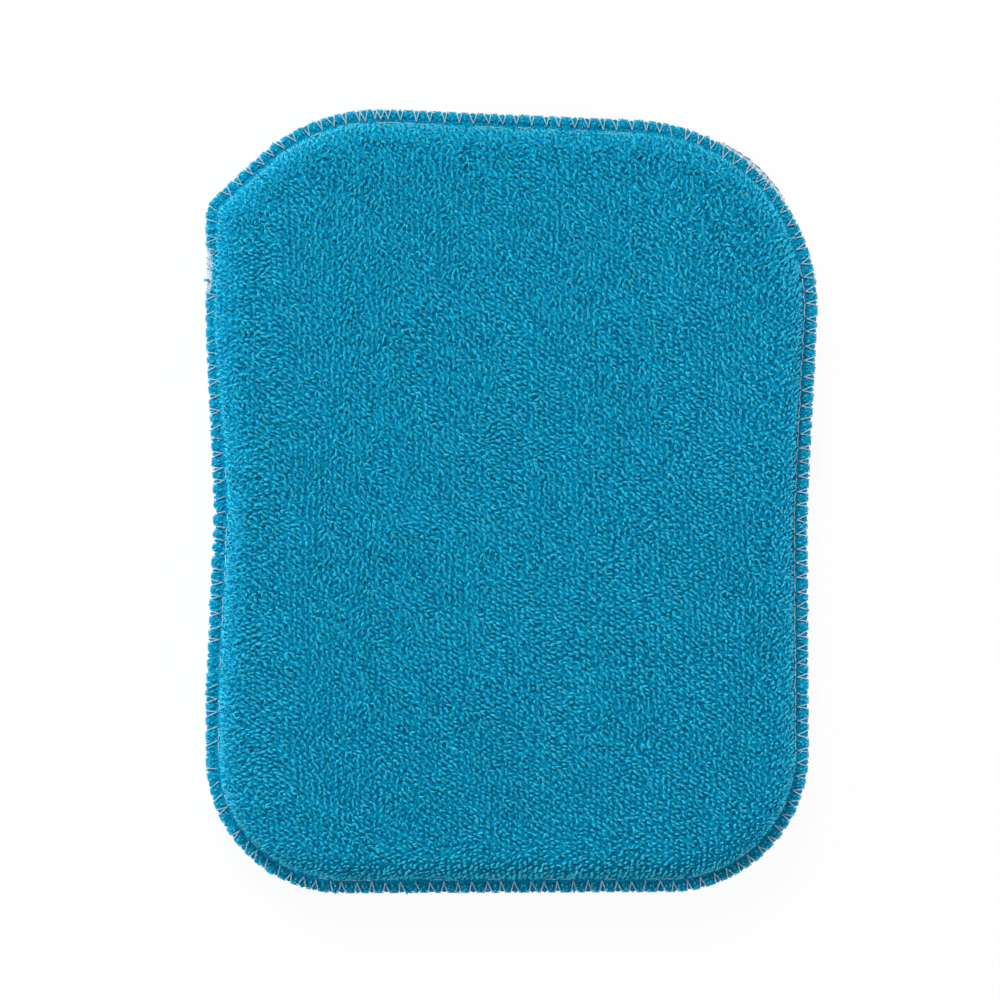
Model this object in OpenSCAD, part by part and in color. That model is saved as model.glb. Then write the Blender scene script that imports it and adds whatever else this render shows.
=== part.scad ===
// Padded cleaning sponge: a foam sheet between two covers of terry cloth, overlocked all round.
// It lies flat on its back cover. X runs across it, Y along it and Z up, and z = 0 is its underside.

/* [Outline] */
// Width of the cut panels
pad_w = 140; // [120:1:170]
// Length of the cut panels
pad_l = 180; // [160:1:210]
// Radius of the crown, at the left end of the top edge
crown_r = 41; // [20:1:50]
// Distance of the crown's corner from the left side
crown_in = 25; // [20:0.5:32]
// Drop of the top edge from the crown to the right
top_fall = 5; // [0:0.5:8]
// Radius of the upper right corner
upper_right_r = 43; // [25:1:55]
// Drop from the top to the small corner at the upper left
slant_drop = 22; // [16:0.5:28]
// Radius of the small corner at the upper left
left_corner_r = 6; // [5:0.5:10]
// Radius of the lower right corner
lower_right_r = 32; // [20:1:45]
// Radius of the lower left corner
lower_left_r = 31; // [20:1:45]
// How far the right side leans in towards the bottom
right_lean = 4.5; // [0:0.5:6]
// How far the left side dips in at its waist
left_waist_in = 2; // [0.5:0.25:4]
// Length of the dip above and below the waist
waist_reach = 41; // [34:1:48]

/* [Padding] */
// Thickness of the whole pad at its middle
pad_t = 15; // [12.5:0.5:20]
// Height of the seam's middle above the underside
seam_h = 6.2; // [5:0.1:7]
// Rise of the middle above the shoulder all round it
crown_h = 0.8; // [0.3:0.1:1.5]
// Width of the rounded shoulder of the front cover
shoulder_w = 5.5; // [5:0.5:12]
// Width of the rounded shoulder under the back cover
under_w = 9; // [6:0.5:14]

/* [Layers] */
// Thickness of the terry cloth, loops included
cover_t = 1.8; // [1.3:0.1:2.2]
// Thickness of the terry where the stitches squeeze it
rim_cover_t = 1.2; // [0.8:0.1:1.3]
// Thickness of the foam where the stitches squeeze it
rim_foam_t = 1.2; // [0.6:0.1:1.8]

/* [Overlock] */
// Distance of the needle's line from the edge
needle_in = 3; // [2.4:0.1:4]
// Length of one stitch
stitch_pitch = 3.3; // [2.6:0.1:5]
// Depth of the notch that each stitch pulls in the edge
notch = 0.4; // [0.1:0.05:0.6]
// Thickness of the sewing threads
thread_d = 0.4; // [0.25:0.05:0.5]
// Distance of a stitch's steep leg from its needle point, at the edge
steep_leg = 0.6; // [0.3:0.1:0.7]
// Distance of a stitch's slanting leg from its needle point, at the edge
slant_leg = 1.1; // [0.8:0.1:1.4]

/* [Foam edge] */
// How far the front cover is set back where the foam's edge shows
peek_back = 1.2; // [0.4:0.1:1.6]
// Half length of the foam's edge that shows at the left
peek_left_l = 5; // [3:0.5:8]
// Half length of the foam's edge that shows at the upper right
peek_right_l = 8; // [5:0.5:12]
// Height of the left place above the pad's middle
peek_left_y = 53; // [45:0.5:57]
// Distance of the upper right place from the pad's middle
peek_right_x = 55.5; // [50:0.5:58]

/* [Hidden] */

cloth = "#0e81a3";
foam = "#e6e3ea";
thread = "#c8c6d4";

half_w = pad_w / 2;
half_l = pad_l / 2;

// Small departures of the cut from a straight-sided shape
cut_in = 0.5;           // trimmed off each side by the cutter
flare = 2.5;            // the right side runs out this far at its top
foot_in = 1.5;          // and in this far at its foot
waist_y = -2;           // the waist lies a little below the middle
waist_r = 14;
hip_r = 90;
shoulder_r = 45;
right_side_r = 150;

// Where the sides meet before they are rounded: x, y and radius, clockwise from the crown
left_x = cut_in - half_w;
corners = [
    [crown_in - half_w, half_l + cut_in, crown_r],
    [half_w + flare, half_l + cut_in - top_fall, upper_right_r],
    [half_w + flare - right_lean, waist_y, right_side_r],
    [half_w - foot_in, 2 * cut_in - half_l, lower_right_r],
    [left_x, cut_in - half_l, lower_left_r],
    [left_x, waist_y - waist_reach, hip_r],
    [left_x + left_waist_in, waist_y, waist_r],
    [left_x, waist_y + waist_reach, shoulder_r],
    [left_x, half_l - slant_drop, left_corner_r]
];
CORNERS = len(corners);

// The outline as a run of straights and arcs
function xy(c) = [c.x, c.y];
function before(j) = (j + CORNERS - 1) % CORNERS;
function after(j) = (j + 1) % CORNERS;
function heading(j) = let (d = xy(corners[j]) - xy(corners[before(j)])) d / norm(d);
headings = [for (j = [0 : CORNERS - 1]) heading(j)];
function cross2(a, b) = a.x * b.y - a.y * b.x;
turns = [for (j = [0 : CORNERS - 1])
    let (u = headings[j], v = headings[after(j)]) atan2(cross2(u, v), u * v)];
tangents = [for (j = [0 : CORNERS - 1]) corners[j].z * tan(abs(turns[j]) / 2)];
arc_starts = [for (j = [0 : CORNERS - 1]) xy(corners[j]) - headings[j] * tangents[j]];
arc_ends = [for (j = [0 : CORNERS - 1]) xy(corners[j]) + headings[after(j)] * tangents[j]];
arc_lengths = [for (j = [0 : CORNERS - 1]) corners[j].z * abs(turns[j]) * PI / 180];
line_lengths = [for (j = [0 : CORNERS - 1]) norm(arc_starts[j] - arc_ends[before(j)])];
function run(j) = j < 0 ? 0 : run(j - 1) + line_lengths[j] + arc_lengths[j];
runs = [for (j = [0 : CORNERS - 1]) run(j)];
around = runs[CORNERS - 1];

// Side of the outline that a distance along it falls on
function side_at(s, j = 0) = s < runs[j] || j == CORNERS - 1 ? j : side_at(s, j + 1);
function turned(v, a) = [v.x * cos(a) - v.y * sin(a), v.x * sin(a) + v.y * cos(a)];
// Place and heading at a distance along the outline
function on_side(j, e) = e <= line_lengths[j]
    ? [arc_ends[before(j)] + headings[j] * e, headings[j]]
    : let (r = corners[j].z,
           sense = sign(turns[j]),
           a = sense * (e - line_lengths[j]) / r * 180 / PI,
           side = turned(headings[j], sense * 90))
      [arc_starts[j] + side * r - turned(side, a) * r, turned(headings[j], a)];
function along(s) = let (t = (s % around + around) % around, j = side_at(t))
    on_side(j, t - (j == 0 ? 0 : runs[j - 1]));
// A point of the outline, set in from it
function set_in(s, d) = let (p = along(s)) p[0] + turned(p[1], -90) * d;

// Stitches round the edge, an even number, with two edge points for each stitch
stitches = 2 * round(around / stitch_pitch / 2);
pitch = around / stitches;
EDGE = 2 * stitches;
BODY = stitches / 2;
function notched(i) = i % 2 == 0 ? notch : 0;
raw_edge = [for (i = [0 : EDGE - 1]) set_in(i * pitch / 2, notched(i))];
xs = [for (p = raw_edge) p.x];
ys = [for (p = raw_edge) p.y];
middle = [(min(xs) + max(xs)) / 2, (min(ys) + max(ys)) / 2];
function inside(s, d) = set_in(s, d) - middle;

// The front cover is set back where the foam's edge shows
peek_drop = 13;         // the upper right place lies this far below the top
peek_left = [-half_w, peek_left_y];
peek_right = [peek_right_x, half_l - peek_drop];
function bump(p, at, reach) = let (f = norm(p - at) / reach) f < 1 ? sqrt(1 - f * f) : 0;
function peek(p) = peek_back * max(bump(p, peek_left, peek_left_l), bump(p, peek_right, peek_right_l));

// Heights of the layers in the seam
foam_top = seam_h + rim_foam_t / 2;
foam_bottom = seam_h - rim_foam_t / 2;
rim_top = foam_top + rim_cover_t;
rim_bottom = foam_bottom - rim_cover_t;

// Rings: the cut edge, and the body's rings inside the needle's line
function edge_ring(z, peeks = false) = [for (i = [0 : EDGE - 1])
    let (s = i * pitch / 2, back = peeks ? peek(inside(s, 0)) : 0, p = inside(s, notched(i) + back))
        [p.x, p.y, z]];
body_line = [for (i = [0 : BODY - 1]) inside(i * 2 * pitch, needle_in)];
function body_ring(d, z) =
    let (fx = 1 - (d - needle_in) / (half_w - needle_in), fy = 1 - (d - needle_in) / (half_l - needle_in))
    [for (p = body_line) [p.x * fx, p.y * fy, z]];

// A quarter of an ellipse from the needle's line up or down to the flat of a cover, then its middle
STEPS = 5;
function shoulder(start, width, z0, z1) = [for (k = [0 : STEPS])
    let (a = 90 * k / STEPS)
    body_ring(start + (needle_in + width - start) * (1 - cos(a)), z0 + (z1 - z0) * sin(a))];
mid_share = 0.35;       // where the ring between the shoulder and the middle lies
function crowned(rings, z) =
    let (d = needle_in + shoulder_w)
    concat(rings, [body_ring(d + (half_w - d) * mid_share, z + crown_h * (1 - pow(1 - mid_share, 2)))]);

out_z = pad_t - crown_h;
in_z = out_z - cover_t;
wall_in = needle_in + rim_cover_t;
front_out = crowned(shoulder(needle_in, shoulder_w, rim_top, out_z), out_z);
front_in = crowned(shoulder(wall_in, shoulder_w, foam_top, in_z), in_z);
back_out = shoulder(needle_in, under_w, rim_bottom, 0);
back_in = shoulder(wall_in, under_w, foam_bottom, cover_t);

function reversed(v) = [for (i = [len(v) - 1 : -1 : 0]) v[i]];

// Triangles between two rings of the body, with the diagonal leaning one way from either side
function band(a, b, out) = [for (i = [0 : BODY - 1]) let (j = (i + 1) % BODY)
    each out ? [[a + i, a + j, b + i], [a + j, b + j, b + i]]
             : [[a + i, a + j, b + j], [a + i, b + j, b + i]]];
function fan(a, tip, out) = [for (i = [0 : BODY - 1]) let (j = (i + 1) % BODY)
    out ? [tip, a + j, a + i] : [a + i, a + j, tip]];
// Four points of the edge meet each point of the needle's line
function rim(body, edge, out) = [for (i = [0 : BODY - 1])
    let (a = body + i, b = body + (i + 1) % BODY, e = [for (k = [0 : 4]) edge + (4 * i + k) % EDGE])
    for (t = [[e[1], e[0], a], [e[2], e[1], a], [a, b, e[2]], [e[3], e[2], b], [e[4], e[3], b]])
        out ? t : reversed(t)];
function wall(a, b) = [for (i = [0 : EDGE - 1]) let (j = (i + 1) % EDGE)
    each [[a + i, a + j, b + i], [a + j, b + j, b + i]]];

// A closed layer: its upper rings from the needle's line inwards, its cut edge and its lower rings
module layer(upper, lower, edge_top, edge_low, z_upper, z_lower) {
    tops = reversed(upper);
    nu = len(upper);
    nl = len(lower);
    e0 = nu * BODY;
    l0 = e0 + 2 * EDGE;
    tip0 = l0 + nl * BODY;
    points = concat([for (r = tops) each r], edge_top, edge_low, [for (r = lower) each r],
                    [[0, 0, z_upper], [0, 0, z_lower]]);
    faces = concat(
        fan(0, tip0, true),
        [for (k = [0 : nu - 2]) each band(k * BODY, (k + 1) * BODY, true)],
        rim((nu - 1) * BODY, e0, true),
        wall(e0, e0 + EDGE),
        rim(l0, e0 + EDGE, false),
        [for (k = [0 : nl - 2]) each band(l0 + k * BODY, l0 + (k + 1) * BODY, false)],
        fan(l0 + (nl - 1) * BODY, tip0 + 1, false));
    polyhedron(points, [for (f = faces) reversed(f)]);
}

// Half the width of a thread at a corner of its line, where it stands out by half its thickness
// over this share at most
sharpest = 0.4;
function miter(a, b, c) =
    let (u = (b - a) / norm(b - a), v = (c - b) / norm(c - b), m = turned(u + v, 90), w = m / norm(m))
    w / max(abs(w * turned(u, 90)), sharpest) * thread_d / 2;
module flat_loop(outer, inner) {
    linear_extrude(thread_d) difference() {
        polygon(outer);
        polygon(inner);
    }
}

// The needle's thread lies in the crease beside the body
thread_gap = 0.02;      // between the threads, and between the needle's thread and the cloth beside it
needle_out = needle_in - thread_gap - thread_d;
module needle_loop() {
    flat_loop([for (i = [0 : BODY - 1]) inside(i * 2 * pitch, needle_out)],
              [for (i = [0 : BODY - 1]) inside(i * 2 * pitch, needle_out + thread_d)]);
}

// A looper's stitches go from the needle's thread out to the edge and back
apex_in = needle_out - thread_gap - thread_d / 2 / sharpest;
tip_in = notch;
looper_line = [for (i = [0 : stitches - 1]) let (s = i * pitch)
    each [inside(s - slant_leg, tip_in), inside(s, apex_in), inside(s + steep_leg, tip_in)]];
module looper_loop() {
    n = len(looper_line);
    sides = [for (i = [0 : n - 1])
        miter(looper_line[(i + n - 1) % n], looper_line[i], looper_line[(i + 1) % n])];
    flat_loop(looper_line + sides, looper_line - sides);
}

module front_cover() {
    color(cloth)
        layer(front_out, front_in, edge_ring(rim_top, true), edge_ring(foam_top, true), pad_t, pad_t - cover_t);
}

module back_cover() {
    color(cloth)
        layer(back_in, back_out, edge_ring(foam_bottom), edge_ring(rim_bottom), cover_t, 0);
}

module foam_core() {
    color(foam)
        layer(front_in, back_in, edge_ring(foam_top), edge_ring(foam_bottom), pad_t - cover_t, cover_t);
}

module needle_thread() {
    color(thread) translate([0, 0, rim_top]) needle_loop();
}

module upper_looper_thread() {
    color(thread) translate([0, 0, rim_top]) looper_loop();
}

module lower_looper_thread() {
    color(thread) translate([0, 0, rim_bottom - thread_d]) looper_loop();
}

front_cover();
back_cover();
foam_core();
needle_thread();
upper_looper_thread();
lower_looper_thread();
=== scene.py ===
import math

import bpy
import numpy as np
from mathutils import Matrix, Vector


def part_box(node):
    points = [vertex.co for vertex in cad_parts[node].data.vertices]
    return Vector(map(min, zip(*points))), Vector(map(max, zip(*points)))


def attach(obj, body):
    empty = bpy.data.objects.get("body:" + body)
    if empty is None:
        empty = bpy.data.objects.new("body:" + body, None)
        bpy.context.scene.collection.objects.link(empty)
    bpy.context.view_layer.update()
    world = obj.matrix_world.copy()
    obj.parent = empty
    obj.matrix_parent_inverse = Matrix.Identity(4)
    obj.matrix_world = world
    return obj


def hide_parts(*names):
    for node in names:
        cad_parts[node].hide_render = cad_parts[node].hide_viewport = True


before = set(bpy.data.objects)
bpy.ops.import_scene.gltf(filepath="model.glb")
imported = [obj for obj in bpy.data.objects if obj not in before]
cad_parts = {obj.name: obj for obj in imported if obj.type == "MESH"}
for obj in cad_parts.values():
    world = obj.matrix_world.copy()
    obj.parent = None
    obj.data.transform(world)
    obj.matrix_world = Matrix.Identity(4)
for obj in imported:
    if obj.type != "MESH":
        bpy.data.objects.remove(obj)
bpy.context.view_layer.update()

MM = 0.001

# Heights of the layers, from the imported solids
RIM_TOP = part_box("needle_thread")[0].z
RIM_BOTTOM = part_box("lower_looper_thread")[1].z
SEAM_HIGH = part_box("front_cover")[0].z
SEAM_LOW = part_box("back_cover")[1].z
SEAM_Z = (SEAM_HIGH + SEAM_LOW) / 2
PAD_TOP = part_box("front_cover")[1].z
COVER_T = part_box("foam_core")[0].z

# The cut outline, as the covers have it
PAD_W = 140 * MM
PAD_L = 180 * MM
HALF_W = PAD_W / 2
HALF_L = PAD_L / 2
CUT_IN = 0.5 * MM
LEFT_X = CUT_IN - HALF_W
FLARE = 2.5 * MM
WAIST_Y = -2 * MM
WAIST_REACH = 41 * MM
CORNERS = [
    (25 * MM - HALF_W, HALF_L + CUT_IN, 41 * MM),
    (HALF_W + FLARE, HALF_L + CUT_IN - 5 * MM, 43 * MM),
    (HALF_W + FLARE - 4.5 * MM, WAIST_Y, 150 * MM),
    (HALF_W - 1.5 * MM, 2 * CUT_IN - HALF_L, 32 * MM),
    (LEFT_X, CUT_IN - HALF_L, 31 * MM),
    (LEFT_X, WAIST_Y - WAIST_REACH, 90 * MM),
    (LEFT_X + 2 * MM, WAIST_Y, 14 * MM),
    (LEFT_X, WAIST_Y + WAIST_REACH, 45 * MM),
    (LEFT_X, HALF_L - 22 * MM, 6 * MM),
]

# Padding: the needle line's depth in from the edge, the front's and the back's roll, the crown and its waves
NEEDLE_IN = 3 * MM
SHOULDER_W = 5.5 * MM
UNDER_W = 9 * MM
CROWN_H = 0.8 * MM
WAVE_H = 0.18 * MM
WAVE_W = 22 * MM

# Stitches: pitch, the legs' reach along the edge, notches, the thread's thickness and height over the seam
STITCH_PITCH = 3.3 * MM
STEEP_LEG = 0.6 * MM
SLANT_LEG = 1.1 * MM
NOTCH = 0.4 * MM
THREAD_D = 0.25 * MM
THREAD_TOP = 0.96 * MM

# How wide a leg presses the rim, and how far the stitches pull the edge in at the waist
PRESS_W = 0.4 * MM
WAIST_PULL = 0.75 * MM

# How far the roll at the edge hangs out over the seam: all round, and more or less at three places
OVERHANG = 0.4 * MM
LEFT_OVERHANG = 1.4 * MM
CORNER_OVERHANG = 0.5 * MM
RIGHT_OVERHANG = -0.3 * MM

# The rim's section from the crease to the cut edge: depth in from the edge and height over the seam, in mm
RIM_SECTION = [
    (3.0, 0.05), (2.7, 0.1), (2.2, 0.35), (1.6, 0.6), (1.0, 0.62),
    (0.55, 0.52), (0.3, 0.36), (0.2, 0.18), (0.25, 0.0),
]

# The rim's rows of loops: depth and height in mm, tilt outwards in radians, size
RIM_ROWS = [
    (2.6, 0.1, 0.0, 0.7),
    (2.1, 0.4, 0.0, 0.9),
    (1.4, 0.44, 0.2, 0.9),
    (0.9, 0.34, 0.6, 0.8),
    (0.7, 0.1, 1.1, 0.62),
    (0.5, 0.05, 1.8, 0.6),
]

# The foam's cut edge from its top to its underside: depth in mm and height as a share of half its thickness
FOAM_EDGE = [
    (2.0, 1.0), (0.5, 0.98), (0.22, 0.9), (0.12, 0.5), (0.14, 0.0),
    (0.12, -0.5), (0.22, -0.9), (0.5, -0.98), (2.0, -1.0),
]

# Where the foam's edge shows: x, y, half length, front cover's set-back, how far the layers below stand out
PEEKS = [
    (-HALF_W, 53 * MM, 5.5 * MM, 1.5 * MM, 0.0),
    (56 * MM, HALF_L - 13.5 * MM, 11 * MM, 0.1 * MM, 1.0 * MM),
]

# Where the seam starts and ends with doubled stitches: x, y, half length
OVERLAP = (-33 * MM, 88.5 * MM, 4.5 * MM)

# The seam's first pass, and the second one where it is doubled: shift as a share of the pitch, and lift
PASSES = [(0.0, 0.0), (0.42, 0.2 * MM)]

# Loose loops that stand out past the edge: x, y in mm
TUFTS = [
    (70.3, -24.3), (-55.4, -86.1), (-12.1, -89.5), (-23.4, -89.5),
    (-69.6, 50.4), (51.1, 81.1), (54.3, 78.8),
]

# Specks of dirt and lint on the front: x, y, radius in mm, colour
SPECKS = [
    (53.4, 69.8, 0.26, (214, 168, 60)),
    (64.3, 62.7, 0.28, (52, 40, 44)),
    (43.5, 75.6, 0.2, (150, 190, 200)),
    (46.8, 75.1, 0.2, (150, 190, 200)),
    (2.6, 82.5, 0.2, (150, 200, 215)),
    (-11.8, 79.7, 0.2, (140, 180, 195)),
    (-61.2, 57.6, 0.2, (150, 175, 190)),
]

# The terry's spacing: its columns and courses, the loops along the rim, and how much wider the back's is
WALE = 1.26 * MM
COURSE = 1.06 * MM
LOOP_PITCH = 0.95 * MM
BACK_SPREAD = 1.28

# Its loops of yarn, and how deep the ground lies under their tips
PILE_H = 1.15 * MM
LOOP_W = 0.23 * MM
LOOP_LEAN = 1.3 * MM
YARN_D = 0.4 * MM
GROUND_DEEP = 0.95 * MM

# How far in from the seam the loops are shorter, and how near the table the lowest ones come
SHORT_REACH = 14 * MM
TABLE_GAP = 0.02 * MM

# Soft lamps: name, place, side in m, watts, colour
LAMPS = [
    ("key", (-0.3, 1.17, 0.9), 0.45, 20.0, (1.0, 0.99, 0.97)),
    ("left", (-0.75, 0.0, 0.2), 0.3, 4.6, (0.6, 0.93, 1.0)),
    ("right", (0.75, -0.2, 0.2), 0.3, 3.6, (1.0, 1.0, 1.0)),
    ("near", (0.0, -0.8, 0.3), 0.4, 0.5, (1.0, 1.0, 1.0)),
]

# The sky's strength, how much of the floor the camera sees as plain white, and half its width in m
SKY_STRENGTH = 0.34
FLOOR_GLOW = 0.94
FLOOR_REACH = 1.5


# Materials
class Sock:
    """A shader value that builds its Math nodes from Python operators."""

    def __init__(self, tree, socket):
        self.tree = tree
        self.socket = socket

    def _math(self, operation, first, second=0.0):
        return self.tree.add("ShaderNodeMath", {"operation": operation}, {0: first, 1: second})

    def __sub__(self, other):
        return self._math("SUBTRACT", self, other)

    def __rsub__(self, other):
        return self._math("SUBTRACT", other, self)

    def __mul__(self, other):
        return self._math("MULTIPLY", self, other)

    __rmul__ = __mul__


class Shader:
    """A material's node tree."""

    def __init__(self, name):
        self.material = bpy.data.materials.new(name)
        self.material.use_nodes = True
        self.nodes = self.material.node_tree.nodes
        self.links = self.material.node_tree.links
        self.nodes.clear()

    def add(self, kind, settings=None, inputs=None, out=0):
        node = self.nodes.new(kind)
        for key, value in (settings or {}).items():
            setattr(node, key, value)
        for key, value in (inputs or {}).items():
            if isinstance(value, Sock):
                self.links.new(value.socket, node.inputs[key])
            else:
                node.inputs[key].default_value = value
        return Sock(self, node.outputs[out])

    def noise(self, scale, detail=1.0):
        """Smooth noise in place, from 0 to 1."""
        return self.add("ShaderNodeTexNoise", {}, {"Vector": self.place(), "Scale": scale, "Detail": detail})

    def span(self, value, low, high):
        """How far a value has come from low to high, from 0 to 1."""
        return self.add("ShaderNodeMapRange", {}, {"Value": value, "From Min": low, "From Max": high})

    def mix(self, factor, first, second):
        return self.add("ShaderNodeMix", {"data_type": "RGBA"}, {0: factor, 6: first, 7: second}, out=2)

    def place(self):
        return self.add("ShaderNodeTexCoord", out=3)

    def outer(self):
        """How far a point lies from the pad's long middle line."""
        across = self.add("ShaderNodeSeparateXYZ", {}, {0: self.place()})
        return self.add("ShaderNodeMath", {"operation": "ABSOLUTE"}, {0: across})

    def attribute(self, name):
        return self.add("ShaderNodeAttribute", {"attribute_name": name}, out=2)

    def bump(self, height, strength, distance):
        return self.add("ShaderNodeBump", {}, {"Height": height, "Strength": strength, "Distance": distance})

    def surface(self, inputs):
        self.finish(self.add("ShaderNodeBsdfPrincipled", {}, inputs))
        return self.material

    def finish(self, shader):
        output = self.nodes.new("ShaderNodeOutputMaterial")
        self.links.new(shader.socket, output.inputs["Surface"])


def linear(red, green, blue):
    """A colour given in 0 to 255 as a monitor shows it."""
    shares = [value / 255 for value in (red, green, blue)]
    return tuple(s / 12.92 if s <= 0.04045 else ((s + 0.055) / 1.055) ** 2.4 for s in shares) + (1.0,)


def specked(m, colour):
    """The cloth's colour with the specks of dirt and lint on the front."""
    place = m.place()
    plan = m.add("ShaderNodeVectorMath", {"operation": "MULTIPLY"}, {0: place, 1: (1.0, 1.0, 0.0)})
    height = m.add("ShaderNodeSeparateXYZ", {}, {0: place}, out=2)
    front = m.span(height, SEAM_Z, SEAM_Z + 0.5 * MM)
    for x, y, radius, tint in SPECKS:
        centre = (x * MM, y * MM, 0.0)
        gap = m.add("ShaderNodeVectorMath", {"operation": "DISTANCE"}, {0: plan, 1: centre}, out=1)
        clear = m.span(gap, 0.8 * radius * MM, 1.3 * radius * MM)
        colour = m.mix((1 - clear) * front, colour, linear(*tint))
    return colour


def terry_yarn():
    """The looped yarn, each loop a little different, with painted shade towards each loop's feet and in fine
    flecks.
    """
    m = Shader("terry_yarn")
    patch = m.span(m.noise(45.0, 2.0), 0.35, 0.65)
    light = m.mix(patch * 0.6, linear(0, 224, 255), linear(16, 226, 253))
    clump = m.span(m.noise(260.0), 0.35, 0.65)
    light = m.mix((1 - clump) * 0.3, light, linear(0, 176, 214))
    body = m.mix(m.attribute("tone") * 0.4, light, linear(0, 164, 200))
    # Painted shade: each loop's colour darkens from its tip down to its feet, where the loops shade one
    # another
    colour = m.mix(m.span(m.attribute("tip"), 0.0, 0.65), linear(0, 140, 180), body)
    # Painted shade: fine noise darkens the yarn in flecks, as the twist of its fibres shades it; the same
    # noise also bumps it
    twist = m.noise(2900.0)
    colour = m.mix((1 - m.span(twist, 0.35, 0.6)) * 0.32, colour, linear(0, 110, 146))
    return m.surface({
        "Base Color": specked(m, colour),
        "Roughness": 0.5 - (1 - m.span(m.outer(), 24 * MM, 60 * MM)) * 0.22,
        "Specular IOR Level": 0.6,
        "Sheen Weight": 0.05,
        "Sheen Roughness": 0.4,
        "Sheen Tint": linear(20, 215, 245),
        "Normal": m.bump(twist, 0.9, 0.2 * MM),
    })


def terry_ground():
    """The knitted ground between the loops, matt, and coloured darker than the yarn as painted shade between
    the loops.
    """
    m = Shader("terry_ground")
    knit = m.noise(1700.0)
    # Painted shade: the ground is darker than the yarn, as the gaps between the loops lie in shade; the
    # knit's noise is its own texture
    colour = m.mix(m.span(knit, 0.4, 0.6), linear(0, 96, 134), linear(0, 150, 190))
    # Painted shade at the crease and on the body's ground: where squeezed is 0 the ground stays darkest, and
    # the flat rim is painted lighter
    colour = m.mix(m.attribute("squeezed") * 0.35, colour, linear(0, 160, 198))
    return m.surface({
        "Base Color": specked(m, colour),
        "Roughness": 0.85,
        "Specular IOR Level": 0.05,
        "Normal": m.bump(knit, 0.9, 0.4 * MM),
    })


def foam_sheet():
    """Pale open-cell foam, cut at its edge."""
    m = Shader("foam_sheet")
    cells = m.add("ShaderNodeTexVoronoi", {}, {"Vector": m.place(), "Scale": 2600.0})
    colour = m.mix(m.span(cells, 0.1, 0.6), linear(190, 192, 203), linear(216, 216, 226))
    return m.surface({
        "Base Color": colour,
        "Roughness": 0.8,
        "Specular IOR Level": 0.2,
        "Normal": m.bump(cells, 0.8, 0.3 * MM),
    })


def sewing_thread():
    """Pale twisted thread: its ply shows as fine light and dark flecks."""
    m = Shader("sewing_thread")
    ply = m.noise(2600.0)
    colour = m.mix(m.span(ply, 0.35, 0.65), linear(138, 166, 184), linear(190, 210, 222))
    return m.surface({
        "Base Color": colour,
        "Roughness": 0.55,
        "Sheen Weight": 0.2,
        "Normal": m.bump(ply, 0.5, 0.1 * MM),
    })


# The cut outline, and shapes of fades over the plan
def ramp(value, low, high):
    """How far a value has come from low to high, from 0 to 1."""
    return np.clip((value - low) / (high - low), 0, 1)


def hill(flat, place, spread):
    """A smooth hill, 1 at its place and falling to 0 over about twice its spread, both in mm."""
    away = (flat - np.array(place) * MM) / (np.array(spread) * MM)
    return np.exp(-(away ** 2).sum(-1))


def clockwise(vector):
    return np.stack([vector[..., 1], -vector[..., 0]], -1)


class Outline:
    """The cut outline as straights and arcs, measured by the distance along it."""

    def __init__(self, corners):
        corners = np.array(corners)
        at, self.radius = corners[:, :2], corners[:, 2]
        step = at - np.roll(at, 1, axis=0)
        self.heading = step / np.linalg.norm(step, axis=1)[:, None]
        leaving = np.roll(self.heading, -1, axis=0)
        cross = self.heading[:, 0] * leaving[:, 1] - self.heading[:, 1] * leaving[:, 0]
        self.turn = np.arctan2(cross, (self.heading * leaving).sum(1))
        tangent = self.radius * np.tan(np.abs(self.turn) / 2)
        self.arc_start = at - self.heading * tangent[:, None]
        arc_end = at + leaving * tangent[:, None]
        self.line_start = np.roll(arc_end, 1, axis=0)
        self.line = np.linalg.norm(self.arc_start - self.line_start, axis=1)
        self.run = np.cumsum(self.line + self.radius * np.abs(self.turn))
        self.around = self.run[-1]
        self.stitches = 2 * round(self.around / STITCH_PITCH / 2)
        self.pitch = self.around / self.stitches
        self.middle = np.zeros(2)
        half_stitches = np.arange(2 * self.stitches)
        cut = self.inside(half_stitches * self.pitch / 2, np.where(half_stitches % 2, 0.0, NOTCH))
        self.middle = (cut.min(0) + cut.max(0)) / 2

    def along(self, s):
        """Place and heading at each distance s along the outline."""
        s = np.mod(s, self.around)
        side = np.minimum(np.searchsorted(self.run, s, side="right"), len(self.run) - 1)
        past = s - np.where(side > 0, self.run[side - 1], 0.0)
        sense = np.sign(self.turn[side])
        angle = np.maximum(past - self.line[side], 0.0) / self.radius[side] * sense
        heading = self.heading[side]
        inner = clockwise(heading) * -sense[..., None]
        cos, sin = np.cos(angle)[..., None], np.sin(angle)[..., None]
        swung = inner * cos - clockwise(inner) * sin
        line = self.line_start[side] + heading * past[..., None]
        arc = self.arc_start[side] + (inner - swung) * self.radius[side][..., None]
        on_line = (past <= self.line[side])[..., None]
        turned = heading * cos - clockwise(heading) * sin
        return np.where(on_line, line, arc), np.where(on_line, heading, turned)

    def inside(self, s, d):
        """The point at distance s along, set in by d."""
        s, d = np.broadcast_arrays(np.asarray(s, float), np.asarray(d, float))
        point, heading = self.along(s)
        return point + clockwise(heading) * d[..., None] - self.middle


EDGE = Outline(CORNERS)
INNER_W = HALF_W - NEEDLE_IN
INNER_L = HALF_L - NEEDLE_IN


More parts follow.
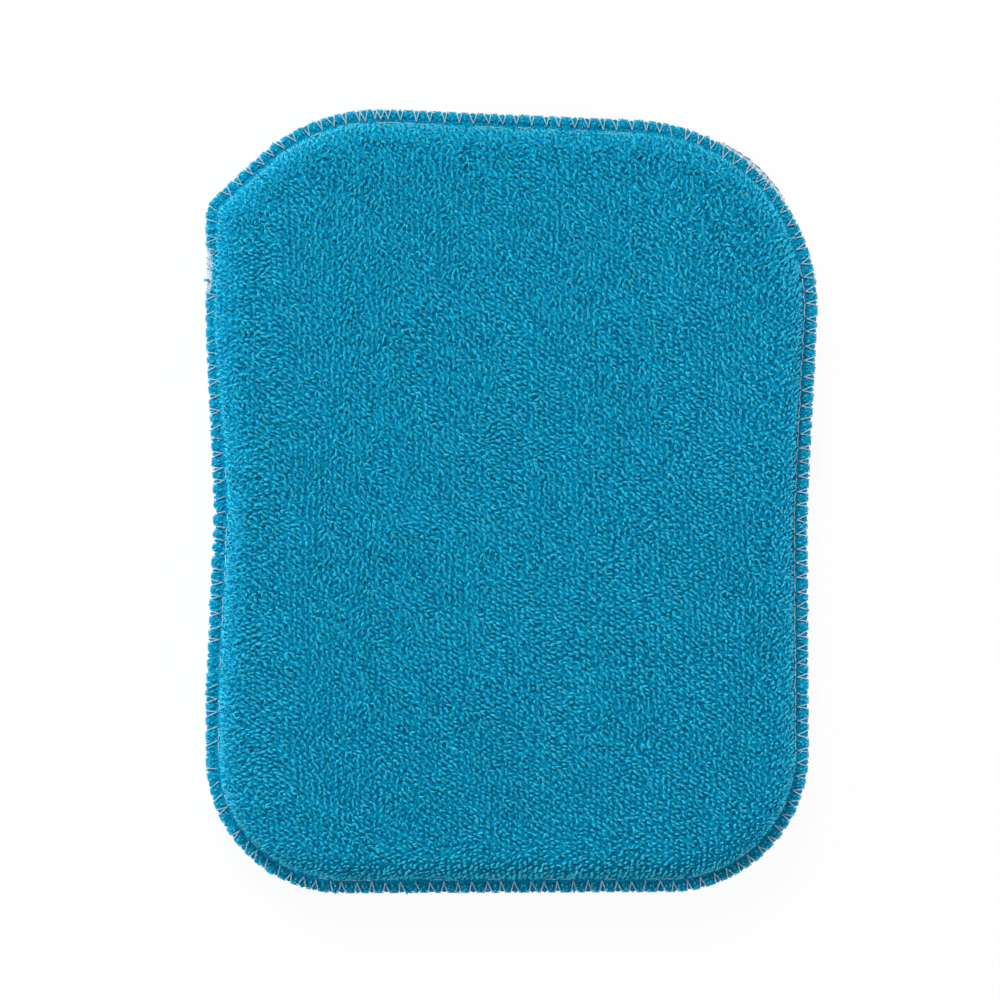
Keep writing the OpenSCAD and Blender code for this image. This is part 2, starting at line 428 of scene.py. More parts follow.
def seeded_noise(points, size, seed, octaves=2):
    """Smooth noise from about -1 to 1 over plan points, from a seeded lattice."""
    rng = np.random.default_rng(seed)
    lattice = rng.uniform(-1, 1, (97, 97))
    total = np.zeros(points.shape[:-1])
    weight = 1.0
    for octave in range(octaves):
        grid = points / size * 2 ** octave + 31.7 * (octave + 1)
        cell = np.floor(grid).astype(int)
        t = grid - cell
        t = t * t * (3 - 2 * t)
        i, j = cell[..., 0] % 96, cell[..., 1] % 96
        near = lattice[i, j] * (1 - t[..., 0]) + lattice[i + 1, j] * t[..., 0]
        far = lattice[i, j + 1] * (1 - t[..., 0]) + lattice[i + 1, j + 1] * t[..., 0]
        total += weight * (near * (1 - t[..., 1]) + far * t[..., 1])
        weight *= 0.5
    return total


# The covers' surfaces
def overhang(flat):
    """How far the roll at the edge hangs out over the seam."""
    left_side = hill(flat, (-70, 42), (12, 24))
    corner = hill(flat, (56, 76), (22, 18))
    right_side = ramp(flat[..., 0], 50 * MM, 60 * MM) * (np.abs(flat[..., 1]) < 60 * MM)
    return OVERHANG + LEFT_OVERHANG * left_side + CORNER_OVERHANG * corner + RIGHT_OVERHANG * right_side


class Cover:
    """A cover's outer surface, with its pile, over cloth laid flat from the middle outwards."""

    def __init__(self, rim_z, flat_z, width, crown, seed):
        self.rim_z = rim_z
        self.flat_z = flat_z
        self.width = width
        self.crown = crown
        self.seed = seed
        self.up = 1.0 if flat_z > rim_z else -1.0
        self.seam = SEAM_HIGH if flat_z > rim_z else SEAM_LOW
        angle = np.linspace(0, math.pi / 2, 200)
        self.e = width * (1 - np.cos(angle))
        self.z = rim_z + (flat_z - rim_z) * np.sin(angle)
        step = np.hypot(np.diff(self.e), np.diff(self.z))
        left = np.concatenate([np.cumsum(step[::-1])[::-1], [0.0]])
        self.cloth = width - left
        self.lowest = self.cloth[0]
        line = EDGE.inside(np.linspace(0, EDGE.around, 6000, endpoint=False), NEEDLE_IN)
        polar = np.arctan2(line[:, 1], line[:, 0])
        order = np.argsort(polar)
        self.polar = polar[order]
        self.reach = np.hypot(line[:, 0], line[:, 1])[order]

    def depth(self, flat):
        """How far inside the needle's line each point of the flat cloth lies."""
        low = np.full(flat.shape[:-1], 4 * self.lowest)
        high = np.full(flat.shape[:-1], INNER_W * 0.999)
        for _ in range(28):
            mid = (low + high) / 2
            x = flat[..., 0] / (1 - mid / INNER_W)
            y = flat[..., 1] / (1 - mid / INNER_L)
            within = np.hypot(x, y) < np.interp(np.arctan2(y, x), self.polar, self.reach, period=2 * math.pi)
            low = np.where(within, mid, low)
            high = np.where(within, high, mid)
        return low

    def surface(self, flat):
        """The point of the cover that each point of the flat cloth comes to."""
        c = self.depth(flat)
        e = np.where(c < self.width, np.interp(c, self.cloth, self.e), c)
        below = np.interp(c, self.cloth, self.z)
        share = ramp(e, self.width, INNER_W)
        above = self.flat_z + self.crown * (1 - (1 - share) ** 2)
        x = flat[..., 0] * (1 - e / INNER_W) / (1 - c / INNER_W)
        y = flat[..., 1] * (1 - e / INNER_L) / (1 - c / INNER_L)
        rise = ramp(below, self.rim_z, self.flat_z)
        over = overhang(flat) * np.sin(math.pi * rise) * (c < self.width)
        x = x * (1 + over / INNER_W)
        y = y * (1 + over / INNER_L)
        fade = ramp(e, 0.0, 10 * MM) ** 2
        wave = WAVE_H * seeded_noise(flat, WAVE_W, self.seed) * fade * (self.crown > 0)
        z = np.where(c < self.width, below, above) - np.abs(wave)
        return np.stack([x, y, z], -1)

    def frame(self, flat):
        """Point, outward normal, direction of the cloth's columns and depth, at each point."""
        h = 0.25 * MM
        point = self.surface(flat)
        right = self.surface(flat + [h, 0]) - self.surface(flat - [h, 0])
        along = self.surface(flat + [0, h]) - self.surface(flat - [0, h])
        normal = np.cross(right, along) * self.up
        normal /= np.linalg.norm(normal, axis=-1)[..., None]
        along -= normal * (along * normal).sum(-1)[..., None]
        along /= np.linalg.norm(along, axis=-1)[..., None]
        return point, normal, along, self.depth(flat)


FRONT = Cover(RIM_TOP, PAD_TOP - CROWN_H, SHOULDER_W, CROWN_H, 11)
BACK = Cover(RIM_BOTTOM, 0.0, UNDER_W, 0.0, 12)


# The stitches' places and what they do to the rim
def at_waist(point):
    """How near a point is to the left side's waist, where the stitches draw the edge into scallops."""
    return np.exp(-((point[..., 1] + 6 * MM) / (20 * MM)) ** 2) * (point[..., 0] < 0)


def pulled(point):
    """How far the stitches pull the edge in there, some more than others."""
    return WAIST_PULL * at_waist(point) * np.clip(0.5 + seeded_noise(point, 6 * MM, 33, 1), 0, 1)


def stitch_lines():
    """Distance along the edge of each stitch's needle point and of its legs' ends, a little uneven."""
    rng = np.random.default_rng(5)
    count = EDGE.stitches
    apex = (np.arange(count) + rng.normal(0, 0.06, count)) * EDGE.pitch
    narrow = 1 - 0.35 * at_waist(EDGE.inside(apex, 0.0))
    steep = apex + STEEP_LEG * rng.uniform(0.4, 1.4, count) * narrow
    slant = apex - SLANT_LEG * rng.uniform(0.65, 1.3, count) * narrow
    return apex, steep, slant


APEX, STEEP, SLANT = stitch_lines()


def pressed(s, d):
    """How much the legs of the stitches press the rim at each place, from 0 to 1."""
    share = np.clip(1 - d / NEEDLE_IN, 0, 1)
    home = np.floor(s / EDGE.pitch).astype(int)
    most = np.zeros(np.broadcast(s, d).shape)
    for offset in (-1, 0, 1, 2):
        i = (home + offset) % EDGE.stitches
        wrap = np.round((s - APEX[i]) / EDGE.around) * EDGE.around
        for tip in (STEEP, SLANT):
            leg = APEX[i] + (tip[i] - APEX[i]) * share + wrap
            most = np.maximum(most, np.exp(-((s - leg) / PRESS_W) ** 2))
    return most


def scallop(line, press, d):
    """How far the rim at depth d swells out between the threads, and draws in under them."""
    swell = (0.42 + 0.4 * at_waist(line)) * MM
    return ((1 - press) * swell - press * pulled(line)) * max(0.0, 1 - d / 1.4)


def at_peeks(point, column):
    """One amount of the places where the foam shows, at each plan point."""
    most = np.zeros(point.shape[:-1])
    for place in PEEKS:
        f = np.hypot(point[..., 0] - place[0], point[..., 1] - place[1]) / place[2]
        most = np.maximum(most, place[column] * np.sqrt(np.clip(1 - f * f, 0, 1)))
    return most


def set_back(point):
    """How far the front cover is set back."""
    return at_peeks(point, 3)


def stand_out(point):
    """How far the foam and the back cover stand out past the front cover."""
    return at_peeks(point, 4)


def drawn_in(point, cover):
    """How far a cover's edge is drawn in there, below 0 where the back cover stands out."""
    return set_back(point) if cover is FRONT else -1.2 * stand_out(point)


# Ground cloths and rims
def mesh_object(name, verts, faces, material, smooth=True):
    mesh = bpy.data.meshes.new(name)
    mesh.from_pydata([tuple(v) for v in verts], [], faces)
    mesh.update()
    mesh.validate()
    if smooth:
        mesh.shade_smooth()
    mesh.materials.append(material)
    obj = bpy.data.objects.new(name, mesh)
    bpy.context.scene.collection.objects.link(obj)
    return obj


def rings_object(name, rings, material):
    """A closed skin through rings whose counts divide each other, with both ends closed."""
    verts = np.concatenate(rings)
    starts = np.concatenate([[0], np.cumsum([len(r) for r in rings])])
    faces = []
    for k in range(len(rings) - 1):
        a, b, na, nb = starts[k], starts[k + 1], len(rings[k]), len(rings[k + 1])
        faces += bridge(a, na, b, nb)
    ends = []
    for ring, start, flip in ((rings[0], starts[0], True), (rings[-1], starts[-2], False)):
        tip = len(verts) + len(ends)
        ends.append(ring.mean(0))
        count = len(ring)
        for i in range(count):
            j = (i + 1) % count
            faces.append((start + i, tip, start + j) if flip else (start + j, tip, start + i))
    return mesh_object(name, np.concatenate([verts, ends]), faces, material)


def bridge(a, na, b, nb):
    """Faces between a ring of na points and one of nb, where one count divides the other."""
    if na == nb:
        return [(a + i, a + (i + 1) % na, b + (i + 1) % nb, b + i) for i in range(na)]
    if na > nb:
        k = na // nb
        faces = []
        for i in range(nb):
            j = (i + 1) % nb
            fine = [a + (k * i + m) % na for m in range(k + 1)]
            half = k // 2
            faces += [(fine[m], fine[m + 1], b + i) for m in range(half)]
            faces.append((fine[half], b + j, b + i))
            faces += [(fine[m], fine[m + 1], b + j) for m in range(half, k)]
        return faces
    return [tuple(reversed(face)) for face in bridge(b, nb, a, na)]


# Points in a ring of the rim and of the body, and how many rings a hidden face has on the roll and inside it
FINE = 8 * EDGE.stitches
COARSE = 2 * EDGE.stitches
FEW_ROUNDS = (6, 4)


def rim_rings(cover):
    """The rim's rings from the crease over to the seam's middle layer: puffed between the threads."""
    s = np.arange(FINE) * EDGE.around / FINE
    line = EDGE.inside(s, 0.0)
    back = drawn_in(line, cover)
    rings = []
    for d, h in RIM_SECTION:
        press = pressed(s, np.full(FINE, d * MM))
        swell = math.sin(math.pi * min(1.0, (3.0 - d) / 2.9) * 0.62)
        puff = (1 - press) * 0.32 * MM * swell * (h > 0)
        inset = d * MM + back * (1 - d / 3.0) - scallop(line, press, d) + 0.2 * MM
        rings.append(np.column_stack([EDGE.inside(s, inset), cover.seam + cover.up * (h * MM + puff)]))
    return rings


def body_rings(cover, thickness, rounds=(11, 12)):
    """The body's ground rings from the crease to the middle, inside the pile."""
    s = np.arange(COARSE) * EDGE.around / COARSE
    line = EDGE.inside(s, NEEDLE_IN)
    rings = []
    roll = np.linspace(cover.lowest, cover.width, rounds[0])
    top = np.linspace(cover.width, INNER_W * 0.9, rounds[1])[1:]
    for c in np.concatenate([roll, top]):
        flat = line * [1 - c / INNER_W, 1 - c / INNER_L]
        point, normal, _, _ = cover.frame(flat)
        rings.append(point - normal * thickness)
    return rings


def cover_piece(name, cover, material):
    """A cover's ground cloth: body, rim and the face that lies on the foam."""
    outer = body_rings(cover, GROUND_DEEP)
    rim = rim_rings(cover)
    inner = body_rings(cover, COVER_T * 0.99, FEW_ROUNDS)
    rings = outer[::-1] + rim + inner
    # How much lighter the ground is painted: 0 on the body and in the crease, which keep the darkest painted
    # shade, rising to 1 on the flat rim
    shares = [0.0] * len(outer) + [0.0, 0.1, 0.5] + [1.0] * (len(rim) - 3) + [0.0] * len(inner)
    if cover is BACK:
        rings, shares = rings[::-1], shares[::-1]
    piece = rings_object(name, rings, material)
    amounts = [np.full(len(ring), share) for ring, share in zip(rings, shares)]
    squeezed = np.concatenate(amounts + [[0.0, 0.0]])
    piece.data.attributes.new("squeezed", "FLOAT", "POINT").data.foreach_set("value", squeezed)
    return piece


# Camera, lights and floor
def make_camera():
    """Straight above the pad, framed so that a pixel of the 1000 by 1000 image is 0.229 mm at the rim."""
    pixel = 0.229 * MM
    height = 0.9
    aside = (-11.6 * pixel, 1.1 * pixel)
    data = bpy.data.cameras.new("camera")
    data.sensor_width = 36.0
    data.lens = data.sensor_width * (height - SEAM_Z) / (1000 * pixel)
    camera = bpy.data.objects.new("camera", data)
    camera.location = (*aside, height)
    bpy.context.scene.collection.objects.link(camera)
    bpy.context.scene.camera = camera


def area_light(name, place, size, watts, colour):
    data = bpy.data.lights.new(name, "AREA")
    data.shape = "SQUARE"
    data.size = size
    data.energy = watts
    data.color = colour
    light = bpy.data.objects.new(name, data)
    light.location = place
    light.rotation_euler = (-Vector(place)).to_track_quat("-Z", "Y").to_euler()
    bpy.context.scene.collection.objects.link(light)


def floor_material():
    """Near white, and plain white to the camera but for the object's shadow."""
    m = Shader("pale_floor")
    matt = m.add("ShaderNodeBsdfDiffuse", {}, {"Color": (0.86, 0.86, 0.87, 1.0)})
    glow = m.add("ShaderNodeEmission", {}, {"Color": (1.0, 1.0, 1.0, 1.0), "Strength": 1.0})
    seen = m.add("ShaderNodeLightPath", out=0)
    m.finish(m.add("ShaderNodeMixShader", {}, {0: seen * FLOOR_GLOW, 1: matt, 2: glow}))
    return m.material


def make_stage():
    reach = FLOOR_REACH
    corners = [(-reach, -reach, 0), (reach, -reach, 0), (reach, reach, 0), (-reach, reach, 0)]
    floor = mesh_object("floor", corners, [(0, 1, 2, 3)], floor_material(), smooth=False)
    world = bpy.data.worlds.new("soft_sky")
    world.use_nodes = True
    background = world.node_tree.nodes["Background"]
    background.inputs["Color"].default_value = (1.0, 1.0, 1.0, 1.0)
    background.inputs["Strength"].default_value = SKY_STRENGTH
    bpy.context.scene.world = world
    for lamp in LAMPS:
        area_light(*lamp)
    bpy.context.scene.view_settings.view_transform = "Standard"


# The terry's loops
class Geometry:
    """A Geometry Nodes tree with named inputs."""

    def __init__(self, name, inputs):
        self.tree = bpy.data.node_groups.new(name, "GeometryNodeTree")
        self.tree.interface.new_socket("Geometry", in_out="INPUT", socket_type="NodeSocketGeometry")
        for label, kind, value in inputs:
            socket = self.tree.interface.new_socket(label, in_out="INPUT", socket_type=kind)
            if value is not None:
                socket.default_value = value
        self.tree.interface.new_socket("Geometry", in_out="OUTPUT", socket_type="NodeSocketGeometry")
        self.source = self.tree.nodes.new("NodeGroupInput")
        self.sink = self.tree.nodes.new("NodeGroupOutput")

    def given(self, name):
        return self.source.outputs[name]

    def add(self, kind, settings=None, inputs=None, out=0):
        node = self.tree.nodes.new(kind)
        for key, value in (settings or {}).items():
            setattr(node, key, value)
        for key, value in (inputs or {}).items():
            if isinstance(value, bpy.types.NodeSocket):
                self.tree.links.new(value, node.inputs[key])
            else:
                node.inputs[key].default_value = value
        return node.outputs[out]

    def math(self, operation, first, second=0.0):
        return self.add("ShaderNodeMath", {"operation": operation}, {0: first, 1: second})

    def attribute(self, name):
        return self.add("GeometryNodeInputNamedAttribute", {"data_type": "FLOAT_VECTOR"}, {"Name": name})

    def store(self, geometry, name, value, domain="POINT"):
        return self.add("GeometryNodeStoreNamedAttribute", {"data_type": "FLOAT", "domain": domain},
                        {"Geometry": geometry, "Name": name, "Value": value})

    def end(self, geometry):
        self.tree.links.new(geometry, self.sink.inputs["Geometry"])

    def end_as_mesh(self, geometry):
        """Makes the result plain geometry, shaded smooth, in the given material."""
        real = self.add("GeometryNodeRealizeInstances", {}, {"Geometry": geometry})
        real = self.add("GeometryNodeSetShadeSmooth", {}, {"Geometry": real})
        material = self.given("Material")
        self.end(self.add("GeometryNodeSetMaterial", {}, {"Geometry": real, "Material": material}))

    def tube(self, line, thickness, caps):
        """A round yarn of so many sides along a curve."""
        section = self.add("GeometryNodeCurvePrimitiveCircle", {"mode": "RADIUS"}, {
            "Resolution": self.given("Sides"),
            "Radius": self.math("MULTIPLY", thickness, 0.5),
        })
        return self.add("GeometryNodeCurveToMesh", {}, {
            "Curve": line, "Profile Curve": section, "Fill Caps": caps})

    def apply(self, obj, values):
        """Runs the tree on an object and leaves the result as its plain mesh."""
        modifier = obj.modifiers.new("nodes", "NODES")
        modifier.node_group = self.tree
        for item in self.tree.interface.items_tree:
            if item.item_type == "SOCKET" and item.in_out == "INPUT" and item.name in values:
                modifier[item.identifier] = values[item.name]
        graph = bpy.context.evaluated_depsgraph_get()
        mesh = bpy.data.meshes.new_from_object(obj.evaluated_get(graph))
        obj.modifiers.remove(modifier)
        obj.data = mesh
        mesh.name = obj.name
        return obj


def loop_tree():
    """Loops of yarn on every point, each turned to its lean and a little different in size."""
    g = Geometry("terry_loops", [
        ("Loop Width", "NodeSocketFloat", LOOP_W),
        ("Loop Height", "NodeSocketFloat", PILE_H - YARN_D / 2),
        ("Lean", "NodeSocketFloat", LOOP_LEAN),
        ("Yarn Thickness", "NodeSocketFloat", YARN_D),
        ("Segments", "NodeSocketInt", 4),
        ("Sides", "NodeSocketInt", 3),
        ("Seed", "NodeSocketInt", 1),
        ("Material", "NodeSocketMaterial", None),
    ])
    width, height, lean = g.given("Loop Width"), g.given("Loop Height"), g.given("Lean")
    thickness, seed = g.given("Yarn Thickness"), g.given("Seed")
    handle = 1.333
    foot = g.math("MULTIPLY", width, 0.35)
    wide = g.math("MULTIPLY", width, 1.27)
    tall = g.math("MULTIPLY", height, handle)
    over = g.math("MULTIPLY", lean, handle)
    sunk = g.math("MULTIPLY", thickness, -0.3)

    def at(x, y, z, sign):
        return g.add("ShaderNodeCombineXYZ", {}, {0: g.math("MULTIPLY", x, sign), 1: y, 2: z})

    arch = g.add("GeometryNodeCurvePrimitiveBezierSegment", {"mode": "POSITION"}, {
        "Resolution": g.given("Segments"),
        "Start": at(foot, 0.0, sunk, -1.0),
        "Start Handle": at(wide, over, tall, -1.0),
        "End Handle": at(wide, over, tall, 1.0),
        "End": at(foot, 0.0, sunk, 1.0),
    })
    yarn = g.tube(arch, thickness, True)
    z = g.add("ShaderNodeSeparateXYZ", {}, {0: g.add("GeometryNodeInputPosition")}, out=2)
    # The height share along each loop, from which the yarn's painted shade towards the feet is read
    yarn = g.store(yarn, "tip", g.math("DIVIDE", z, height))
    turn = g.add("FunctionNodeAxesToRotation", {"primary_axis": "Z", "secondary_axis": "Y"},
                 {0: g.attribute("normal_out"), 1: g.attribute("lean_to")})
    placed = g.add("GeometryNodeInstanceOnPoints", {}, {
        "Points": g.given("Geometry"), "Instance": yarn, "Rotation": turn})
    tilt = g.add("FunctionNodeRandomValue", {"data_type": "FLOAT_VECTOR"},
                 {"Min": (-0.25, -0.6, -0.3), "Max": (0.25, 0.6, 0.3), "Seed": seed})
    placed = g.add("GeometryNodeRotateInstances", {}, {"Instances": placed, "Rotation": tilt})
    size = g.add("FunctionNodeRandomValue", {"data_type": "FLOAT_VECTOR"},
                 {"Min": (0.8, 0.75, 0.8), "Max": (1.3, 1.15, 1.12), "Seed": g.math("ADD", seed, 7.0)})
    share = g.add("ShaderNodeVectorMath", {"operation": "MULTIPLY"}, {0: size, 1: g.attribute("size_share")})
    placed = g.add("GeometryNodeScaleInstances", {}, {"Instances": placed, "Scale": share})
    tone = g.add("FunctionNodeRandomValue", {"data_type": "FLOAT"},
                 {"Seed": g.math("ADD", seed, 13.0)}, out=1)
    g.end_as_mesh(g.store(placed, "tone", tone, domain="INSTANCE"))
    return g


def points_object(name, points, edges):
    mesh = bpy.data.meshes.new(name)
    mesh.from_pydata([tuple(p) for p in points], edges, [])
    obj = bpy.data.objects.new(name, mesh)
    bpy.context.scene.collection.objects.link(obj)
    return obj


def seats_object(name, points, normals, leans, sizes):
    """Bare points that carry each loop's direction, lean and size."""
    obj = points_object(name, points, [])
    for key, values in (("normal_out", normals), ("lean_to", leans), ("size_share", sizes)):
        layer = obj.data.attributes.new(key, "FLOAT_VECTOR", "POINT")
        layer.data.foreach_set("vector", np.ascontiguousarray(values, np.float32).ravel())
    return obj


def lean_angle(flat):
    """Which way the loops lie: up the pad, in wandering streaks, and towards -X at the left side."""
    x, y = flat[..., 0], flat[..., 1]
    usual = 0.66
    swirl = 0.55 * seeded_noise(flat * [1.0, 0.6], 5 * MM, 21)
    broad = 0.2 * seeded_noise(flat, 40 * MM, 22, 1)
    upright = 0.4 * np.exp(-((x + 35 * MM) / (12 * MM)) ** 2) + 0.25 * ramp(y, 30 * MM, 60 * MM)
    left = 0.6 * ramp(-x, 46 * MM, 58 * MM)
    right = 0.6 * ramp(x, 50 * MM, 58 * MM)
    foot = 0.9 * ramp(-y, 74 * MM, 83 * MM)
    return usual + swirl + broad + left + foot - upright - right


def loop_seats(cover, spread):
    """Seats of the loops on the flat cloth, in columns that wave a little."""
    reach = 5 * MM
    xs = np.arange(-HALF_W - reach, HALF_W + reach, WALE * spread)
    ys = np.arange(-HALF_L - reach, HALF_L + reach, COURSE * spread)
    grid = np.stack(np.meshgrid(xs, ys, indexing="ij"), -1)
    grid[1::2, :, 1] += COURSE * spread / 2
    flat = grid.reshape(-1, 2)
    rng = np.random.default_rng(cover.seed + 40)
    flat = flat + rng.normal(0, 0.11 * MM, flat.shape)
    flat[:, 0] += 0.9 * MM * seeded_noise(flat, 30 * MM, cover.seed + 1, 1)
    return flat[cover.depth(flat) > cover.lowest + 0.2 * MM]


def press_flat(obj):
    """The pad's weight presses the lowest loops flat on the table."""
    mesh = obj.data
    places = np.empty(3 * len(mesh.vertices), np.float32)
    mesh.vertices.foreach_get("co", places)
    places[2::3] = np.maximum(places[2::3], TABLE_GAP)
    mesh.vertices.foreach_set("co", places)


def pile_pieces(prefix, cover, tree, material, *, parts, segments, spread, seed):
    """The body's loops, in pieces of cloth from the bottom edge to the top."""
    flat = loop_seats(cover, spread)
    point, normal, along, depth = cover.frame(flat)
    across = np.cross(along, normal)
    near = 1 - ramp(depth, cover.lowest, cover.lowest + SHORT_REACH)
    rng = np.random.default_rng(seed + 50)
    uneven = 0.15 + near * (0.4 + 0.5 * (flat[:, 1] > -70 * MM))
    angle = lean_angle(flat) + rng.normal(0, 1, len(flat)) * uneven
    corner = ramp(flat[:, 0], 25 * MM, 40 * MM) * ramp(flat[:, 1], 40 * MM, 55 * MM)
    angle += rng.normal(0, 0.5, len(flat)) * corner
    lean = along * np.cos(angle)[:, None] - across * np.sin(angle)[:, None]
    seat = point - normal * PILE_H
    sizes = np.column_stack([np.full(len(flat), spread), spread * (1 - 0.4 * near), 1 - 0.1 * near])
    cuts = np.linspace(-HALF_L - 6 * MM, HALF_L + 6 * MM, parts + 1)
    pieces = []
    for k in range(parts):
        here = (flat[:, 1] >= cuts[k]) & (flat[:, 1] < cuts[k + 1])
        obj = seats_object(f"{prefix}_pile_{k + 1}", seat[here], normal[here], lean[here], sizes[here])
        tree.apply(obj, {"Segments": segments, "Seed": seed + k, "Material": material})
        press_flat(obj)
        pieces.append(obj)
    return pieces


# Threads, rim loops and foam
def strand_tree():
    """A round thread along a line of points."""
    g = Geometry("sewing_strand", [
        ("Thickness", "NodeSocketFloat", THREAD_D),
        ("Sides", "NodeSocketInt", 5),
        ("Material", "NodeSocketMaterial", None),
    ])
    line = g.add("GeometryNodeMeshToCurve", {}, {"Mesh": g.given("Geometry")})
    g.end_as_mesh(g.tube(line, g.given("Thickness"), False))
    return g


def strand(name, points, tree, material):
    count = len(points)
    obj = points_object(name, points, [(i, (i + 1) % count) for i in range(count)])
    return tree.apply(obj, {"Material": material})


def smooth_closed(points):
    """Rounds a closed line of points by cutting its corners."""
    after = np.roll(points, -1, axis=0)
    return np.stack([points * 0.75 + after * 0.25, points * 0.25 + after * 0.75], 1).reshape(-1, 3)


def looper_points(cover):
    """A looper's thread: up from the edge to each needle point and back down over the edge."""
    up, seam, front = cover.up, cover.seam, cover is FRONT
    top = seam + up * THREAD_TOP
    rows = []
    line = EDGE.inside(APEX, 0.0)
    doubled = np.hypot(line[:, 0] - OVERLAP[0], line[:, 1] - OVERLAP[1]) < OVERLAP[2]
    backs, outs, pulls = set_back(line), stand_out(line), pulled(line)
    rng = np.random.default_rng(9 if front else 10)
    short = rng.uniform(0.0, 0.4, EDGE.stitches) * MM
    buried = 0.55 * MM * (rng.uniform(0, 1, (EDGE.stitches, 2)) < 0.05 + 0.25 * (line[:, :1] < -60 * MM))
    for i in range(EDGE.stitches):
        shows = backs[i] + outs[i] > 0
        edge = -0.05 * MM - outs[i] + 0.8 * pulls[i]
        tip = 2.85 * MM - short[i]
        first, second = buried[i] * up
        turn_in = 0.3 * MM - outs[i] if shows else -0.1 * MM
        turn_z = SEAM_Z - (0.9 * MM if shows else 0.0)
        over = 0.15 * MM if front and shows else 0.5 * MM
        onto = 0.6 * MM + (0.8 * backs[i] if front else 0.0)
        for share, lift in PASSES[:2 if doubled[i] else 1]:
            shift = share * EDGE.pitch
            a, s, b = SLANT[i] + shift * 0.6, APEX[i] + shift, STEEP[i] + shift * 1.3
            high = top + up * lift
            rows += [
                (a - 0.1 * MM, turn_in, turn_z + up * 0.1 * MM),
                (a, edge, seam + up * over),
                (s + 0.75 * (a - s), onto, high - first),
                (s + 0.1 * (a - s), tip - 0.5 * MM, high - first),
                (s, tip, high - up * 0.15 * MM),
                (s + 0.1 * (b - s), tip - 0.5 * MM, high - second),
                (s + 0.75 * (b - s), onto, high - second),
                (b, edge, seam + up * over),
                (b + 0.1 * MM, turn_in, turn_z - up * 0.1 * MM),
            ]
    rows = np.array(rows)
    plan = EDGE.inside(rows[:, 0], rows[:, 1])
    return smooth_closed(np.column_stack([plan, rows[:, 2] + up * 0.15 * THREAD_D]))


def needle_points():
    """The needle's thread: dashes in the crease, and down through the layers at each stitch."""
    rng = np.random.default_rng(6)
    hole = 2.95 * MM
    below = RIM_BOTTOM - 0.1 * MM
    rows = []
    for i in range(EDGE.stitches):
        s = APEX[i]
        after = APEX[(i + 1) % EDGE.stitches] + (EDGE.around if i == EDGE.stitches - 1 else 0)
        place = EDGE.inside(s, 0.0)
        hidden = 0.5 * float(place[0] > 25 * MM and place[1] > 55 * MM)
        hidden -= 0.4 * float(place[0] > 55 * MM and abs(place[1]) < 60 * MM)
        sunk = RIM_TOP - (rng.uniform(0.15, 0.6) + hidden) * MM
        in_by = rng.uniform(2.85, 3.05) * MM
        rows += [
            (s - 0.05 * MM, hole, below),
            (s + 0.05 * MM, hole, below),
            (s + 0.2 * MM, hole, sunk - 0.15 * MM),
            (s + 0.6 * MM, in_by, sunk),
            ((s + after) / 2, in_by + 0.2 * MM, sunk + 0.15 * MM),
            (after - 0.6 * MM, in_by, sunk),
            (after - 0.2 * MM, hole, sunk - 0.15 * MM),
        ]
    rows = np.array(rows)
    plan = EDGE.inside(rows[:, 0], rows[:, 1])
    return smooth_closed(np.column_stack([plan, rows[:, 2]]))


def outward_at(s):
    """The plan direction out of the edge at each distance s along it."""
    outward = EDGE.inside(s, 0.0) - EDGE.inside(s, 1.0)
    outward /= np.linalg.norm(outward, axis=1)[:, None]
    return np.column_stack([outward, np.zeros(len(s))])


def rim_row(cover, row, rng):
    """A row of squeezed loops on the rim, between the threads: seats, normals, leans and sizes."""
    d, h, tilt, size = row
    count = int(EDGE.around / LOOP_PITCH)
    s = (np.arange(count) + rng.uniform(-0.3, 0.3, count)) * EDGE.around / count
    depth = d * MM + rng.normal(0, 0.12 * MM, count)
    press = pressed(s, depth)
    line = EDGE.inside(s, 0.0)
    keep = (press < 0.6) & ((d > 1) | (set_back(line) <= 0.3 * MM))
    if row is RIM_ROWS[-1]:
        keep &= set_back(line) + stand_out(line) < 0.1 * MM
    s, depth, press, line = s[keep], depth[keep], press[keep], line[keep]
    puff = (1 - press) * 0.25 * MM
    inset = depth + drawn_in(line, cover) * (1 - d / 3) - puff * (d < 1.5) - 0.5 * scallop(line, press, d)
    seats = np.column_stack([EDGE.inside(s, inset), cover.seam + cover.up * (h * MM + puff)])
    outward = outward_at(s)
    sky = np.array([0.0, 0.0, cover.up])
    normals = outward * math.sin(tilt) + sky * math.cos(tilt)
    side = np.cross(normals, outward)
    side /= np.linalg.norm(side, axis=1)[:, None]
    down = outward * math.cos(tilt) - sky * math.sin(tilt)
    leans = down + side * rng.normal(0, 0.45, len(s))[:, None]
    shape = np.array([1.0, 0.75, 0.75] if d > 1 else [1.35, 0.65, 0.5])
    sizes = size * rng.uniform(0.85, 1.1, len(s))[:, None] * shape
    return seats, normals, leans, sizes


def tuft(x, y):
    """Three loose loops that stand out past the edge near a point, in mm."""
    s = np.linspace(0, EDGE.around, 6000)
    away = EDGE.inside(s, 0.0) - [x * MM, y * MM]
    home = s[np.hypot(away[:, 0], away[:, 1]).argmin()] + np.array([-0.25, 0.0, 0.3]) * MM
    plan = EDGE.inside(home, 0.45 * MM)
    seats = np.column_stack([plan, np.full(3, SEAM_HIGH + 0.3 * MM)])
    outward = np.column_stack([EDGE.inside(home, 0.0) - plan, np.full(3, 0.1 * MM)])
    outward /= np.linalg.norm(outward, axis=1)[:, None]
    leans = np.cross(outward, [0.0, 0.0, 1.0]) * np.array([[1.0], [0.2], [-1.0]]) + [0, 0, 0.3]
    sizes = np.array([[1.2, 0.6, 0.95]]) * np.array([[0.8], [1.1], [0.9]])
    return seats, outward, leans, sizes


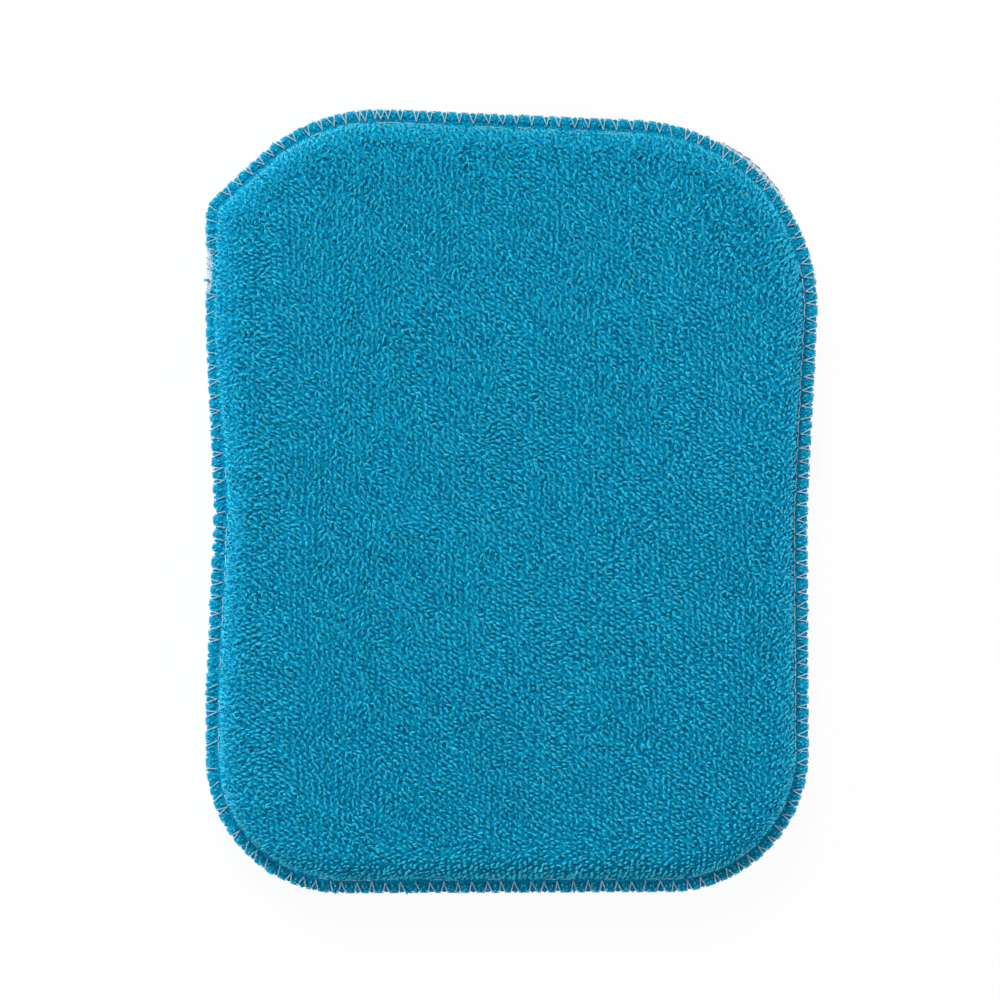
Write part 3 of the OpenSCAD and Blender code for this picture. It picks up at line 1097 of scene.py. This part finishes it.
def rim_pile(name, cover, tree, material, seed):
    """The loops on a cover's rim, in one piece, and on the front the loose ones past its edge."""
    rng = np.random.default_rng(seed)
    groups = [rim_row(cover, row, rng) for row in RIM_ROWS]
    if cover is FRONT:
        groups += [tuft(x, y) for x, y in TUFTS]
    obj = seats_object(name, *(np.concatenate(rows) for rows in zip(*groups)))
    return tree.apply(obj, {"Segments": 3, "Seed": seed, "Material": material})


def foam_piece(material):
    """The foam sheet: its body between the covers and its edge squeezed in the seam."""
    s = np.arange(FINE) * EDGE.around / FINE
    rng = np.random.default_rng(8)
    line = EDGE.inside(s, 0.0)
    out = stand_out(line)
    tucked = 0.5 * MM * (1 - ramp(set_back(line) + out, 0.0, 0.3 * MM))
    half = (SEAM_HIGH - SEAM_LOW) / 2 * 0.99
    rings = body_rings(FRONT, COVER_T * 1.01, FEW_ROUNDS)[::-1]
    for d, share in FOAM_EDGE:
        rough = rng.normal(0, 0.03 * MM, FINE) if d < 1 else 0.0
        plan = EDGE.inside(s, d * MM + rough + (tucked - 0.7 * out) * (1 - d / 3))
        rings.append(np.column_stack([plan, np.full(FINE, SEAM_Z + share * half)]))
    rings += body_rings(BACK, COVER_T * 1.01, FEW_ROUNDS)
    return rings_object("foam_sheet", rings, material)


def settle(piece, slot, *nodes):
    """Every piece of the pad is one rigid body."""
    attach(piece, "root")
    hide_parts(*nodes)


def build():
    yarn = terry_yarn()
    ground = terry_ground()
    thread = sewing_thread()
    loops = loop_tree()
    strands = strand_tree()
    front = cover_piece("front_ground", FRONT, ground)
    back = cover_piece("back_ground", BACK, ground)
    foam = foam_piece(foam_sheet())
    for piece, node in ((front, "front_cover"), (back, "back_cover")):
        settle(piece, "terry", node)
    settle(foam, "foam", "foam_core")
    for piece in pile_pieces("front", FRONT, loops, yarn, parts=3, segments=4, spread=1.0, seed=100):
        settle(piece, "terry", "front_cover")
    for piece in pile_pieces("back", BACK, loops, yarn, parts=2, segments=3, spread=BACK_SPREAD, seed=200):
        settle(piece, "terry", "back_cover")
    settle(rim_pile("front_rim_pile", FRONT, loops, yarn, 301), "terry", "front_cover")
    settle(rim_pile("back_rim_pile", BACK, loops, yarn, 302), "terry", "back_cover")
    settle(strand("upper_looper", looper_points(FRONT), strands, thread), "thread", "upper_looper_thread")
    settle(strand("lower_looper", looper_points(BACK), strands, thread), "thread", "lower_looper_thread")
    settle(strand("needle_stitches", needle_points(), strands, thread), "thread", "needle_thread")


make_camera()
make_stage()
build()
